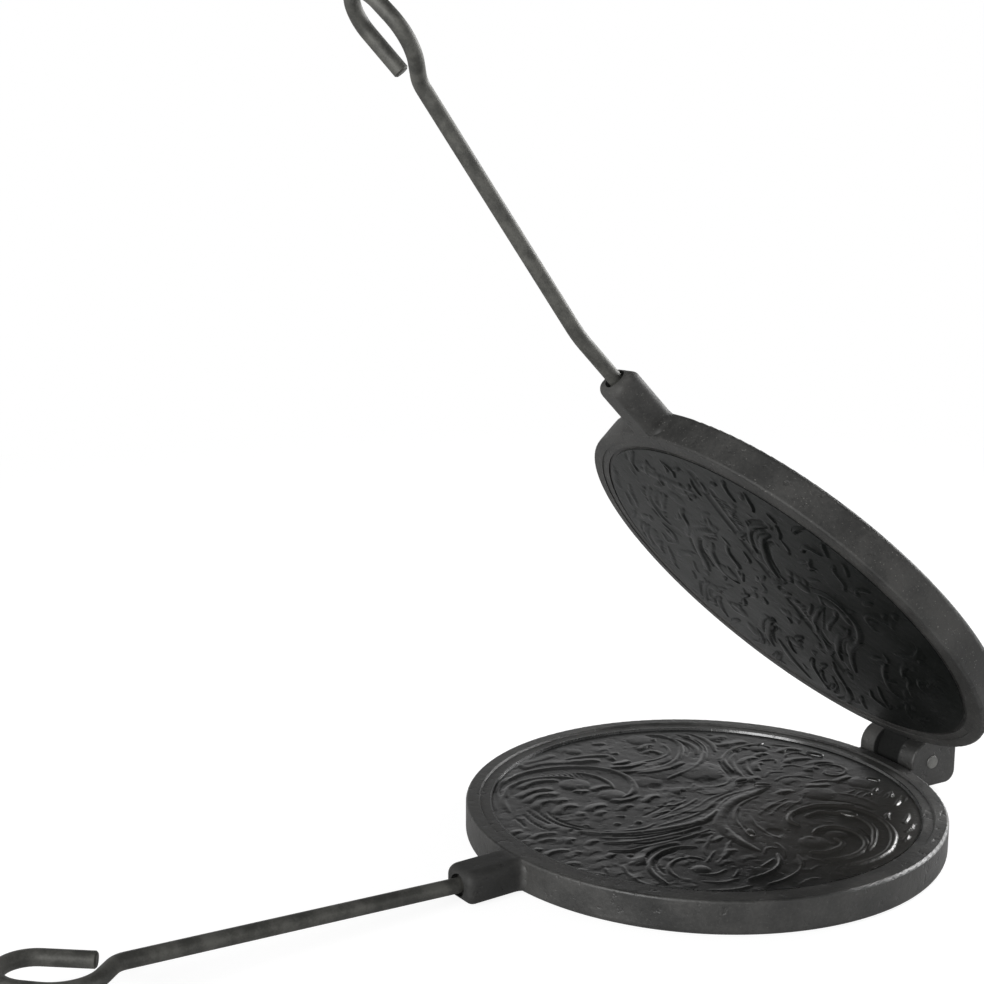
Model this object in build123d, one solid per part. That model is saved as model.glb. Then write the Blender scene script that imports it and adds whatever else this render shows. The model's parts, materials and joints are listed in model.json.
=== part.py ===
from build123d import *
import os
from math import cos, hypot, radians, sin

os.makedirs("parts", exist_ok=True)

# Wafer iron: two round cast plates hinged at one side, each with a long steel handle rod
# opposite the hinge. Millimetres, +Z up. The origin is the centre of the lower plate's
# flat underside, and +X points at the hinge. The iron rests open on its lower plate.

# Plates
lower_plate_diameter = 165.0
upper_plate_setback = 0.5
plate_thickness = 11.6
back_edge_round = 2.0
face_edge_round = 0.9
closed_face_gap = 0.2

# Raised rim, ledge and sunken baking face of the lower plate
lower_rim_width = 4.5
ledge_depth = 0.7
ledge_width = 4.0
lower_face_depth = 1.8
wall_slope_run = 0.5

# Flat rim, shallow ledge, groove and baking face of the upper plate
upper_rim_width = 4.0
upper_ledge_width = 2.7
upper_ledge_depth = 0.35
groove_width = 1.2
groove_depth = 0.9
upper_face_depth = 0.4

# Hinge
pin_offset = 11.3
pin_diameter = 5.0
pin_proud = 0.4
pin_end_round = 0.35
knuckle_width = 12.0
knuckle_radius = 8.0
knuckle_side_gap = 0.25
knuckle_bore_clearance = 0.08
knuckle_web_height = 10.4
knuckle_web_lift = 1.4
knuckle_web_fillet = 2.0
ear_thickness = 7.75
ear_inboard = 9.7
ear_outboard = 11.8
ear_top_inboard = 9.4
ear_top_outboard = 5.6
ear_bottom = 9.4
ear_shoulder = 1.4
ear_top_round = 7.5
ear_corner_round = 2.0
ear_heel_round = 4.5
ear_face_round = 0.8

# Sockets, ears and knuckle are rooted in the rims, this far short of the rims' inner edge
root_setback = 0.3

# Handle sockets, cast on each plate opposite the hinge
socket_splay = 4.4
socket_length = 20.5
socket_width = 14.0
socket_height = 11.2
socket_flare = 2.0
socket_end_round = 2.6
socket_edge_round = 3.6
mouth_diameter = 7.4
mouth_depth = 2.4
seat_depth = 22.0

# Handle rods: a straight shank ending in an open bent eye
rod_diameter = 5.0
rod_end_chamfer = 0.5
lower_rod_rise = 3.3
upper_rod_rise = 8.6
upper_bend_offset = 16.0
upper_bend_radius = 45.0
shank_length = 111.5
neck_radius = 7.0
neck_angle = 42.0
neck_run = 6.0
side_radius = 14.0
side_heading = 27.0
side_run = 5.0
eye_radius = 10.0
eye_tail_heading = 201.0
tail_length = 15.5
lower_eye_lean = 14.0

# Pose in which the iron stands open
opening_angle = 47.2

# How far a cutting tool runs past the faces that it opens, and how near a picked edge lies
cut_overrun = 1.0
pick_slack = 0.1

# Worked out from the sizes above
upper_plate_diameter = lower_plate_diameter - 2 * upper_plate_setback
lower_radius = lower_plate_diameter / 2
upper_radius = upper_plate_diameter / 2
root_overlap = min(lower_rim_width, upper_rim_width) - root_setback
parting_z = plate_thickness
upper_face_z = parting_z + closed_face_gap
hinge_x = lower_radius + pin_offset
hinge_point = Vector(hinge_x, 0, parting_z)
hinge_axis = Axis(hinge_point, (0, 1, 0))
ear_inner_y = knuckle_width / 2 + knuckle_side_gap
ear_outer_y = ear_inner_y + ear_thickness
socket_end = lower_radius + socket_length
pin_radius = pin_diameter / 2
bore_radius = pin_radius + knuckle_bore_clearance
rod_radius = rod_diameter / 2


def handle_direction(side):
    """Unit vector out along a socket: side -1 is the lower plate's, +1 the upper plate's."""
    splay = radians(socket_splay)
    return Vector(-cos(splay), side * sin(splay), 0)


def plate_blank(profile_points, rounded):
    """Turned plate from a half profile in radius and height, with some corners rounded."""
    outline = Polyline(*profile_points, close=True)
    half = make_face(outline)
    for (radius, height), size in rounded:
        corner = half.vertices().sort_by_distance((radius, height, 0))[0]
        half = fillet(corner, size)
    return revolve(Plane.XZ * half, Axis.Z)


def lower_blank():
    rim_inner = lower_radius - lower_rim_width
    ledge_z = parting_z - ledge_depth
    ledge_outer = rim_inner - wall_slope_run
    ledge_inner = rim_inner - ledge_width
    face_z = parting_z - lower_face_depth
    face_outer = ledge_inner - wall_slope_run
    points = [
        (0, 0),
        (lower_radius, 0),
        (lower_radius, parting_z),
        (rim_inner, parting_z),
        (ledge_outer, ledge_z),
        (ledge_inner, ledge_z),
        (face_outer, face_z),
        (0, face_z),
    ]
    rounded = [
        ((lower_radius, 0), back_edge_round),
        ((lower_radius, parting_z), face_edge_round),
    ]
    return plate_blank(points, rounded)


def upper_blank():
    top_z = upper_face_z + plate_thickness
    rim_inner = upper_radius - upper_rim_width
    ledge_inner = rim_inner - upper_ledge_width
    face_outer = ledge_inner - groove_width
    ledge_z = upper_face_z + upper_ledge_depth
    bed = upper_face_z + groove_depth
    face_z = upper_face_z + upper_face_depth
    points = [
        (0, face_z),
        (face_outer, face_z),
        (face_outer, bed),
        (ledge_inner, bed),
        (ledge_inner, ledge_z),
        (rim_inner, ledge_z),
        (rim_inner, upper_face_z),
        (upper_radius, upper_face_z),
        (upper_radius, top_z),
        (0, top_z),
    ]
    rounded = [
        ((upper_radius, top_z), back_edge_round),
        ((upper_radius, upper_face_z), face_edge_round),
    ]
    return plate_blank(points, rounded)


def socket_boss(plate_radius, middle_z, side):
    """Rounded stub that flares into the plate's side wall, on a line through the centre."""
    inner = plate_radius - root_overlap
    rooted_radius = plate_radius - root_overlap / 4
    reach = socket_end - inner
    stub = Pos(inner + reach / 2, 0) * Rectangle(reach, socket_width)
    plan = Circle(plate_radius) + stub
    roots = plan.vertices().filter_by(lambda v: v.X > 0).sort_by(Axis.X)[-4:-2]
    plan = fillet(roots, socket_flare)
    ends = plan.vertices().sort_by(Axis.X)[-2:]
    plan = fillet(ends, socket_end_round)
    sector_width = socket_width + 4 * socket_flare
    sector = Pos(socket_end, 0) * Rectangle(2 * socket_end, sector_width)
    neck = (plan & sector) - Circle(inner)
    boss = extrude(neck, socket_height / 2, both=True)
    rims = boss.edges().filter_by(lambda e: socket_height / 2 - abs(e.center().Z) < pick_slack)
    outer_rims = rims.filter_by(lambda e: hypot(e.center().X, e.center().Y) > rooted_radius)
    boss = fillet(outer_rims, socket_edge_round)
    turn = 180 - side * socket_splay
    return Pos(0, 0, middle_z) * Rot(0, 0, turn) * boss


def ear_profile():
    """Outline of one hinge ear in the XZ plane, measured from the pin."""
    inside = -pin_offset - root_overlap
    outline = Polyline(
        (inside, -ear_bottom),
        (ear_outboard, -ear_bottom),
        (ear_outboard, ear_top_outboard),
        (-ear_inboard, ear_top_inboard),
        (-ear_inboard, -ear_shoulder),
        (inside, -ear_shoulder),
        close=True,
    )
    face = make_face(outline)
    for corner, size in [
        ((ear_outboard, -ear_bottom), ear_heel_round),
        ((ear_outboard, ear_top_outboard), ear_corner_round),
        ((-ear_inboard, ear_top_inboard), ear_top_round),
    ]:
        vertex = face.vertices().sort_by_distance((*corner, 0))[0]
        face = fillet(vertex, size)
    return face


def hinge_plane(y):
    """Plane across the pin, y along it from the middle, with local X outwards and local Y up."""
    return Plane(origin=(hinge_x, y, parting_z), x_dir=(1, 0, 0), z_dir=(0, -1, 0))


def hinge_ear(side):
    outer = side * ear_outer_y
    ear = extrude(hinge_plane(outer) * ear_profile(), side * ear_thickness)
    face_edges = ear.faces().sort_by(Axis.Y)[-1 if side > 0 else 0].edges()
    free_edges = face_edges.filter_by(lambda e: e.center().X > hinge_x - ear_inboard - pick_slack)
    return fillet(free_edges, ear_face_round)


def pin_cylinder(radius, length):
    return Pos(*hinge_point) * Rot(90, 0, 0) * Cylinder(radius, length)


def knuckle():
    """Centre lug of the upper plate, closed position."""
    barrel = Circle(knuckle_radius)
    inside = -pin_offset - root_overlap
    web = make_face(
        Polyline(
            (inside, knuckle_web_lift),
            (0, knuckle_web_lift),
            (0, knuckle_radius),
            (inside, knuckle_web_height),
            close=True,
        )
    )
    profile = barrel + web
    crease = profile.vertices().sort_by_distance((-knuckle_radius, knuckle_web_lift, 0))[0]
    profile = fillet(crease, knuckle_web_fillet)
    return extrude(hinge_plane(0) * profile, knuckle_width / 2, both=True)


def socket_plane(side, middle_z, rise):
    """Plane of a handle at its socket mouth: local X out along the rod, local Y sideways."""
    out = handle_direction(side)
    along = out * cos(radians(rise)) + Vector(0, 0, sin(radians(rise)))
    sideways = Vector(side * sin(radians(socket_splay)), cos(radians(socket_splay)), 0)
    mouth = out * socket_end + Vector(0, 0, middle_z)
    return Plane(origin=mouth, x_dir=along, z_dir=along.cross(sideways))


def socket_bore(plane):
    """Seat for the rod and the wider mouth round it, cut along the rod's line."""
    across = Plane(origin=plane.origin, x_dir=plane.y_dir, z_dir=-plane.x_dir)
    seat = extrude(across * Circle(rod_radius), seat_depth)
    mouth_floor = across.offset(-mouth_depth)
    mouth = extrude(mouth_floor * Circle(mouth_diameter / 2), 2 * mouth_depth)
    return seat + mouth


def eye_lines(start, lean):
    """Open eye in the local XY plane, from the end of the shank round to the free tail."""
    neck = JernArc(start=start, tangent=(1, 0), radius=neck_radius, arc_size=-neck_angle)
    run = PolarLine(start=neck @ 1, length=neck_run, direction=neck % 1)
    side_turn = neck_angle + side_heading + lean
    side = JernArc(start=run @ 1, tangent=run % 1, radius=side_radius, arc_size=side_turn)
    straight = PolarLine(start=side @ 1, length=side_run, direction=side % 1)
    end_turn = eye_tail_heading - side_heading
    end = JernArc(start=straight @ 1, tangent=straight % 1, radius=eye_radius, arc_size=end_turn)
    tail = PolarLine(start=end @ 1, length=tail_length, direction=end % 1)
    return [neck, run, side, straight, end, tail]


def swept_rod(path):
    section = Plane(origin=path @ 0, z_dir=path % 0) * Circle(rod_radius)
    rod = sweep(section, path=path)
    ends = rod.faces().filter_by(GeomType.PLANE)
    tail_face = ends.sort_by_distance(path @ 1)[0]
    return chamfer(tail_face.edges(), rod_end_chamfer)


def lower_handle(plane):
    shank = Line((-seat_depth, 0), (shank_length, 0))
    flat = [shank] + eye_lines((shank_length, 0), lower_eye_lean)
    return swept_rod(plane * Wire(flat))


def upper_handle(plane):
    """The shank runs straight out of the socket, then bends away from the other handle."""
    bend_plane = Plane(origin=plane.origin, x_dir=plane.x_dir, z_dir=plane.y_dir)
    bend_start = upper_bend_offset
    seated = Line((-seat_depth, 0), (bend_start, 0))
    bend = JernArc(
        start=seated @ 1, tangent=(1, 0), radius=upper_bend_radius, arc_size=upper_rod_rise
    )
    lift = [bend_plane * seated, bend_plane * bend]
    bend_end = lift[1] @ 1
    along = lift[1] % 1
    raised = Plane(origin=bend_end, x_dir=along, z_dir=along.cross(plane.y_dir))
    rest = shank_length - bend_start - upper_bend_radius * sin(radians(upper_rod_rise))
    shank = Line((0, 0), (rest, 0))
    eye = [raised * piece for piece in [shank] + eye_lines((rest, 0), 0)]
    return swept_rod(Wire(lift + eye))


# Handles' planes, both with the iron closed
lower_socket_plane = socket_plane(-1, plate_thickness / 2, lower_rod_rise)
upper_socket_plane = socket_plane(1, upper_face_z + plate_thickness / 2, 0)

# Lower casting
lower_plate = lower_blank()
lower_plate += socket_boss(lower_radius, plate_thickness / 2, -1)
lower_plate += hinge_ear(-1)
lower_plate += hinge_ear(1)
lower_plate -= pin_cylinder(pin_radius, 2 * (ear_outer_y + cut_overrun))
lower_plate -= socket_bore(lower_socket_plane)

# Upper casting, modelled closed and then opened about the pin
upper_plate = upper_blank()
upper_plate += socket_boss(upper_radius, upper_face_z + plate_thickness / 2, 1)
upper_plate += knuckle()
upper_plate -= pin_cylinder(bore_radius, knuckle_width + 2 * cut_overrun)
upper_plate -= socket_bore(upper_socket_plane)
upper_rod = upper_handle(upper_socket_plane)

# Hinge pin, driven into both ears
hinge_pin = pin_cylinder(pin_radius, 2 * (ear_outer_y + pin_proud))
hinge_pin = fillet(hinge_pin.edges().filter_by(GeomType.CIRCLE), pin_end_round)

nodes = {
    "lower_plate": lower_plate,
    "lower_handle": lower_handle(lower_socket_plane),
    "upper_plate": upper_plate.rotate(hinge_axis, opening_angle),
    "upper_handle": upper_rod.rotate(hinge_axis, opening_angle),
    "hinge_pin": hinge_pin,
}
for name, shape in nodes.items():
    export_step(shape, f"parts/{name}.step")
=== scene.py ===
import json
from math import cos, hypot, pi, radians, sin, tau

import bpy
import numpy as np
from mathutils import Matrix, Vector


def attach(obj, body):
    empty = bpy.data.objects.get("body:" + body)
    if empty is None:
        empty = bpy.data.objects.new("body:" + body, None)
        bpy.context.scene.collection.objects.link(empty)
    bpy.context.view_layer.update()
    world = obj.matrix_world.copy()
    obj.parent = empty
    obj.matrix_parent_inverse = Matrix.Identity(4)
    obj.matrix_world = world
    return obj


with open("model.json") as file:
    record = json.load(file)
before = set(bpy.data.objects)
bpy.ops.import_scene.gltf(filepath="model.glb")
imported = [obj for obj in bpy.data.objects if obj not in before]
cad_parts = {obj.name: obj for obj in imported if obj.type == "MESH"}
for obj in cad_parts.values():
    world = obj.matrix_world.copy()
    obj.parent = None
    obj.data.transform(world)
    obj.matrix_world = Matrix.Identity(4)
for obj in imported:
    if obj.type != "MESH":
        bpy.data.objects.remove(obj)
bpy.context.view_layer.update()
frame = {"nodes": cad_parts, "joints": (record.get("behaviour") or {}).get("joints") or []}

# The scene is in metres; the drawings below are in millimetres.
MM = 0.001

# Level and relief radius of both baking faces, millimetres, with the iron closed
LOWER_FACE_Z, LOWER_RELIEF_RADIUS = 9.8, 73.3
UPPER_FACE_Z, UPPER_RELIEF_RADIUS = 12.2, 74.0

# Cells along each side of a relief's grid, and how deep its underside lies in the plate
RELIEF_CELLS, RELIEF_SUNK = 300, 0.3

# Ground of each relief above the plate's face, so that hollows can go into it, the soft
# cap on the height above the ground, and the unevenness of the sand, millimetres
LOWER_GROUND, LOWER_CAP, LOWER_UNEVEN = 0.3, 0.82, 0.005
UPPER_GROUND, UPPER_CAP, UPPER_UNEVEN = 0.35, 0.6, 0.0025

# Height of the foot, the bend and the top of the recess wall, millimetres
WALL_FOOT_Z, WALL_BEND_Z, WALL_TOP_Z = 9.7, 10.3, 10.92

# Painted shade at the hinge, metres: its reach from the pin, and how far aside it starts and
# ends to fade on the casting with the ears and on the one with the knuckle
HINGE_SHADE_REACH = (0.0115, 0.0175)
EAR_SHADE_SIDES, KNUCKLE_SHADE_SIDES = (0.0064, 0.007), (0.008, 0.014)

# Painted light patch on the lower face, metres: its middle and where it starts and ends to fade
LIT_PATCH_MIDDLE, LIT_PATCH_REACH = (0.028, -0.042, 0.01), (0.022, 0.06)
LIT_PATCH_AMOUNT, LIT_PATCH_COLOUR = 0.85, (0.048, 0.046, 0.042)

# Where the lower socket leaves the plate and the reach of the painted shade there, metres,
# and how strong that painted shade is
SOCKET_START, SOCKET_SHADE_REACH, SOCKET_SHADE = -0.0835, 0.002, 0.5

# Colours of painted shade and of painted glint specks; how much rougher the shade makes the iron
PAINTED_SHADE_COLOUR, GLINT_SPECK_COLOUR, PAINTED_SHADE_ROUGHENS = (0.004, 0.0045, 0.004), (0.16, 0.155, 0.145), 0.35

# Studio: the world is white below the first height of the sky and dim above the second.
WORLD_LOW, WORLD_HIGH = 0.12, 0.5
WORLD_TOP, WORLD_SIDE, WORLD_TOP_LIGHT = 0.06, 0.7, 0.12

# Half the floor's side, and the distances from the middle between which it fades into the
# white round it, metres
FLOOR_HALF, FLOOR_NEAR, FLOOR_FAR = 6.0, 0.3, 0.8

# Point that all lamps look at, metres
LAMP_AIM = Vector((0, 0, 0.05))

# Grey and glow of the floor as it lights the iron, and as the camera sees it
FLOOR_GREY, FLOOR_GLOW = 0.62, 0.1
SEEN_GREY, SEEN_GLOW = 0.25, 0.88

hinge = frame["joints"][0]
HINGE = Vector(hinge["pos_m"])
OPENED = radians(-hinge["range_deg"][0])
to_open = (
    Matrix.Translation(HINGE) @ Matrix.Rotation(OPENED, 4, "Y") @ Matrix.Translation(-HINGE)
)


# Camera at the photograph's viewing angle

def make_camera():
    azimuth, elevation, roll = radians(-30.658), radians(12.0226), radians(0.2029)
    distance, aside, above, aim_height = 0.612663, 0.0734446, -0.1060572, 0.0116
    focal_pixels, photo_pixels, sensor = 1767.61, 984, 36
    aim = Vector((0, 0, aim_height))
    back = Vector((
        sin(azimuth) * cos(elevation), -cos(azimuth) * cos(elevation), sin(elevation)
    ))
    right = Vector((cos(azimuth), sin(azimuth), 0))
    up = back.cross(right)
    right_2 = right * cos(roll) + up * sin(roll)
    up_2 = up * cos(roll) - right * sin(roll)
    data = bpy.data.cameras.new("camera")
    data.sensor_fit = "HORIZONTAL"
    data.sensor_width = sensor
    data.lens = sensor * focal_pixels / photo_pixels
    data.clip_start, data.clip_end = 0.01, 100
    camera = bpy.data.objects.new("camera", data)
    bpy.context.collection.objects.link(camera)
    turn = Matrix((right_2, up_2, back)).transposed().to_4x4()
    place = aim - aside * right_2 - above * up_2 + distance * back
    camera.matrix_world = Matrix.Translation(place) @ turn
    bpy.context.scene.camera = camera


make_camera()


# Carved relief of both plates

def numbers(text):
    return [float(word) for word in text.split()]


def points(text):
    return [tuple(float(c) for c in pair.split(",")) for pair in text.split()]


def smooth_line(knots, step=0.5):
    """Catmull-Rom line through the knots, sampled about every step millimetres."""
    p = np.array(knots, float)
    ends = np.vstack([2 * p[0] - p[1], p, 2 * p[-1] - p[-2]])
    out = []
    for a, b, c, d in zip(ends, ends[1:], ends[2:], ends[3:]):
        count = max(2, int(hypot(*(c - b)) / step))
        t = np.linspace(0, 1, count, endpoint=False)[:, None]
        out.append(0.5 * (
            2 * b + (c - a) * t + (2 * a - 5 * b + 4 * c - d) * t**2
            + (3 * b - a - 3 * c + d) * t**3
        ))
    out.append(p[-1:])
    return np.vstack(out)


def leaned(x, y, u, v, lean):
    """Point at u, v from the point x, y, in axes turned by the lean."""
    return x + u * cos(lean) - v * sin(lean), y + u * sin(lean) + v * cos(lean)


def solid(name, verts, faces, crease=75):
    """Piece from closed faces in metres, shaded smooth but for edges above the crease."""
    data = bpy.data.meshes.new(name)
    data.from_pydata(verts, [], faces)
    data.validate()
    data.polygons.foreach_set("use_smooth", np.ones(len(data.polygons), bool))
    data.set_sharp_from_angle(angle=radians(crease))
    piece = bpy.data.objects.new(name, data)
    bpy.context.collection.objects.link(piece)
    return piece


def turned(name, profile, count=240):
    """Ring turned about the plate's middle from a closed profile of radius and height."""
    verts = []
    for turn in np.arange(count) * tau / count:
        verts += [(r * cos(turn) * MM, r * sin(turn) * MM, z * MM) for r, z in profile]
    size = len(profile)
    faces = []
    for i in range(count):
        here, there = i * size, (i + 1) % count * size
        for j in range(size):
            k = (j + 1) % size
            faces.append((here + j, there + j, there + k, here + k))
    return solid(name, verts, faces, crease=30)


def bosses(name, text, level):
    """Steep uneven bosses; each row is middle, half length, half width, lean and height."""
    verts, faces = [], []
    rings, around = 9, 30
    spread_power, fall_power = 0.75, 0.8
    broad_wave, short_wave = 0.07, 0.04
    for row in text.strip().splitlines():
        x, y, long, wide, lean, high = numbers(row)
        first = len(verts)
        verts.append((x * MM, y * MM, (level + high) * MM))
        for ring in range(1, rings + 1):
            down = ring / rings * pi / 2
            out = sin(down) ** spread_power
            top = high * cos(down) ** fall_power if ring < rings else -RELIEF_SUNK
            for step in range(around):
                turn = step * tau / around
                wave = 1 + broad_wave * sin(3 * turn + x) + short_wave * sin(5 * turn + y)
                u, v = long * out * wave * cos(turn), wide * out * wave * sin(turn)
                across, along = leaned(x, y, u, v, radians(lean))
                verts.append((across * MM, along * MM, (level + top) * MM))
        for step in range(around):
            after = (step + 1) % around
            faces.append((first, first + 1 + step, first + 1 + after))
            for ring in range(rings - 1):
                a = first + 1 + ring * around
                b = a + around
                faces.append((a + step, b + step, b + after, a + after))
        last = first + 1 + (rings - 1) * around
        faces.append(tuple(last + around - 1 - step for step in range(around)))
    return solid(name, verts, faces)


class Carving:
    """Height over a disc of grid points, built up stroke by stroke, in millimetres."""

    # Ribs: how many of its widths one takes to narrow, what its height keeps over its width
    # there, and the power of its section, which is larger, and so rounder, in a wide rib
    RIB_RUN_OUT, RIB_HEIGHT_KEPT, RIB_POWER, RIB_POWER_PER_WIDTH = 3, 0.2, 0.15, 0.22

    # Leaf edges: run-out, width of the lip, how full the crest is, the power of its fall,
    # and the share of the height below that it keeps
    EDGE_RUN_OUT, EDGE_LIP, EDGE_CREST, EDGE_POWER, EDGE_KEEPS = 2.5, 0.3, 1.4, 0.8, 0.5

    # Run-out of a groove, and the powers of the sections of balls and hollows
    GROOVE_RUN_OUT, BALL_POWER, HOLLOW_POWER = 2, 0.6, 0.7

    # Ranges of the scattered leaves: lean in degrees, half length, bend, width and height,
    # and their gap to the border
    LEAF_LEAN, LEAF_HALF, LEAF_BEND = (20, 70), (2, 4.2), (-1.5, 1.5)
    LEAF_WIDTH, LEAF_HEIGHT, LEAF_GAP = (1.6, 2.8), (0.22, 0.42), 6

    # Ranges of the lumps and pits: half width, length over width, and height
    LUMP_SIZE, LUMP_LENGTH, LUMP_HEIGHT = (0.5, 1.1), (1.0, 2.2), (0.03, 0.12)

    # Unevenness: count of the waves and the range of their turn in radians per millimetre
    WAVES, WAVE_TURN = 24, (0.25, 1.6)

    # Thinnest layer over the plate's face, and the width of the border that dies away
    THINNEST, BORDER = 0.02, 1.2

    # Added to a squared length, so that points that coincide don't divide by zero
    NEAR_ZERO = 1e-9

    def __init__(self, radius, cells, blunt):
        side = np.linspace(-1, 1, cells + 1)
        u, v = np.meshgrid(side, side)
        wide = np.abs(u) > np.abs(v)
        reach = np.where(wide, u, v)
        other = np.where(wide, v, u)
        ratio = np.divide(other, reach, out=np.zeros_like(u), where=reach != 0)
        angle = np.where(wide, ratio * pi / 4, pi / 2 - ratio * pi / 4)
        self.x = (radius * reach * np.cos(angle)).ravel()
        self.y = (radius * reach * np.sin(angle)).ravel()
        self.radius, self.cells, self.blunt = radius, cells, blunt
        self.high = np.zeros(self.x.size)

    def along(self, line, reach):
        """Points within reach of a line: their index, distance, side and way to the nearer
        end, and last the length of the line.
        """
        low, top = line.min(0) - reach, line.max(0) + reach
        near = np.flatnonzero(
            (self.x > low[0]) & (self.x < top[0]) & (self.y > low[1]) & (self.y < top[1])
        )
        start, run = line[:-1], np.diff(line, axis=0)
        length = np.hypot(run[:, 0], run[:, 1])
        passed = np.concatenate([[0], np.cumsum(length)])
        dx = self.x[near, None] - start[None, :, 0]
        dy = self.y[near, None] - start[None, :, 1]
        t = np.clip((dx * run[:, 0] + dy * run[:, 1]) / (length**2 + self.NEAR_ZERO), 0, 1)
        off_x, off_y = dx - t * run[:, 0], dy - t * run[:, 1]
        gap = np.hypot(off_x, off_y)
        best = gap.argmin(1)
        row = np.arange(near.size)
        side = run[best, 0] * dy[row, best] - run[best, 1] * dx[row, best]
        at = passed[best] + t[row, best] * length[best]
        keep = gap[row, best] < reach
        ends = np.minimum(at, passed[-1] - at)
        return near[keep], gap[row, best][keep], side[keep], ends[keep], passed[-1]

    @staticmethod
    def run_out(ends, total, length):
        """0 at both ends of a line, rising to 1 over the length or half the line."""
        return np.sqrt(np.clip(ends / min(total / 2, length), 0, 1))

    def dome(self, x, y, radius, power):
        """1 in the middle of a disc, falling to 0 at its edge."""
        gap2 = ((self.x - x) ** 2 + (self.y - y) ** 2) / radius**2
        return np.clip(1 - gap2, 0, 1) ** power

    def ridge(self, knots, width, height):
        """Rib that narrows towards both ends, squarer in section the narrower it is."""
        index, gap, _, ends, total = self.along(smooth_line(knots), width)
        rise = self.run_out(ends, total, self.RIB_RUN_OUT * width)
        taper = self.blunt + (1 - self.blunt) * rise
        across = np.clip(1 - (gap / (width / 2 * taper)) ** 2, 0, 1)
        section = across ** (self.RIB_POWER + self.RIB_POWER_PER_WIDTH * width)
        top = height * section * np.clip(taper + self.RIB_HEIGHT_KEPT, 0, 1)
        self.high[index] = np.maximum(self.high[index], top)

    def ball(self, x, y, radius, height):
        self.high = np.maximum(self.high, height * self.dome(x, y, radius, self.BALL_POWER))

    def step(self, knots, height, fade):
        """Edge of a leaf: high on the left of the line's travel, fading away from it."""
        index, gap, side, ends, total = self.along(smooth_line(knots), fade)
        taper = self.run_out(ends, total, self.EDGE_RUN_OUT)
        fall = np.where(side > 0, self.EDGE_CREST * (1 - gap / fade), 1 - gap / self.EDGE_LIP)
        rise = height * taper * np.clip(fall, 0, 1) ** self.EDGE_POWER
        below = self.high[index]
        self.high[index] = np.maximum(below, below * self.EDGE_KEEPS + rise)

    def groove(self, knots, width, depth):
        index, gap, _, ends, total = self.along(smooth_line(knots), width)
        taper = self.run_out(ends, total, self.GROOVE_RUN_OUT)
        self.high[index] -= depth * taper * np.clip(1 - (gap / (width / 2)) ** 2, 0, 1)

    def hollow(self, x, y, radius, depth):
        self.high -= depth * self.dome(x, y, radius, self.HOLLOW_POWER)

    def ribs(self, count, width, height, first, last):
        """Short ribs between two guide lines, each given by its two ends."""
        for i in range(count):
            t = i / max(1, count - 1)
            a = [p + (q - p) * t for p, q in zip(first[0], first[1])]
            b = [p + (q - p) * t for p, q in zip(last[0], last[1])]
            self.ridge([a, b], width, height)

    def spots(self, chance, count, gap=0.0):
        """Points drawn evenly over the disc, at least the gap away from its border."""
        for _ in range(count):
            reach = (self.radius - gap) * np.sqrt(chance.uniform(0, 1))
            turn = chance.uniform(0, tau)
            yield reach * cos(turn), reach * sin(turn)

    def leaves(self, count, seed):
        """Seeded scatter of small curved leaves between the larger strokes."""
        chance = np.random.default_rng(seed)
        for x, y in self.spots(chance, count, self.LEAF_GAP):
            lean = radians(chance.uniform(*self.LEAF_LEAN))
            half, bend = chance.uniform(*self.LEAF_HALF), chance.uniform(*self.LEAF_BEND)
            curve = ((-half, 0), (-half / 3, 0.8 * bend), (half / 3, bend), (half, 0.2 * bend))
            knots = [leaned(x, y, u, v, lean) for u, v in curve]
            width, height = chance.uniform(*self.LEAF_WIDTH), chance.uniform(*self.LEAF_HEIGHT)
            self.ridge(knots, width, height)

    def grain(self, count, seed):
        """Seeded scatter of small lumps and pits, as a sand mould leaves them."""
        chance = np.random.default_rng(seed)
        for x, y in self.spots(chance, count):
            size, long = chance.uniform(*self.LUMP_SIZE), chance.uniform(*self.LUMP_LENGTH)
            high = chance.choice([-1, 1]) * chance.uniform(*self.LUMP_HEIGHT)
            dx, dy = self.x - x, self.y - y
            near = np.flatnonzero((np.abs(dx) < size * long) & (np.abs(dy) < size * long))
            lean = chance.uniform(0, pi)
            u = (dx[near] * cos(lean) + dy[near] * sin(lean)) / (size * long)
            v = (dy[near] * cos(lean) - dx[near] * sin(lean)) / size
            self.high[near] += high * np.clip(1 - u**2 - v**2, 0, 1)

    def finish(self, limit, depth, uneven, seed):
        """Soft cap, the unevenness of a sand casting, and a border that dies away."""
        chance = np.random.default_rng(seed)
        rough = np.zeros(self.x.size)
        for _ in range(self.WAVES):
            wave = chance.uniform(*self.WAVE_TURN)
            turn, shift = chance.uniform(0, tau, 2)
            rough += np.sin(wave * (self.x * cos(turn) + self.y * sin(turn)) + shift)
        self.high = limit * np.tanh(self.high / limit) + uneven * rough
        self.high = np.maximum(self.high, self.THINNEST - depth)
        self.high *= np.clip((self.radius - np.hypot(self.x, self.y)) / self.BORDER, 0, 1)

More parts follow.
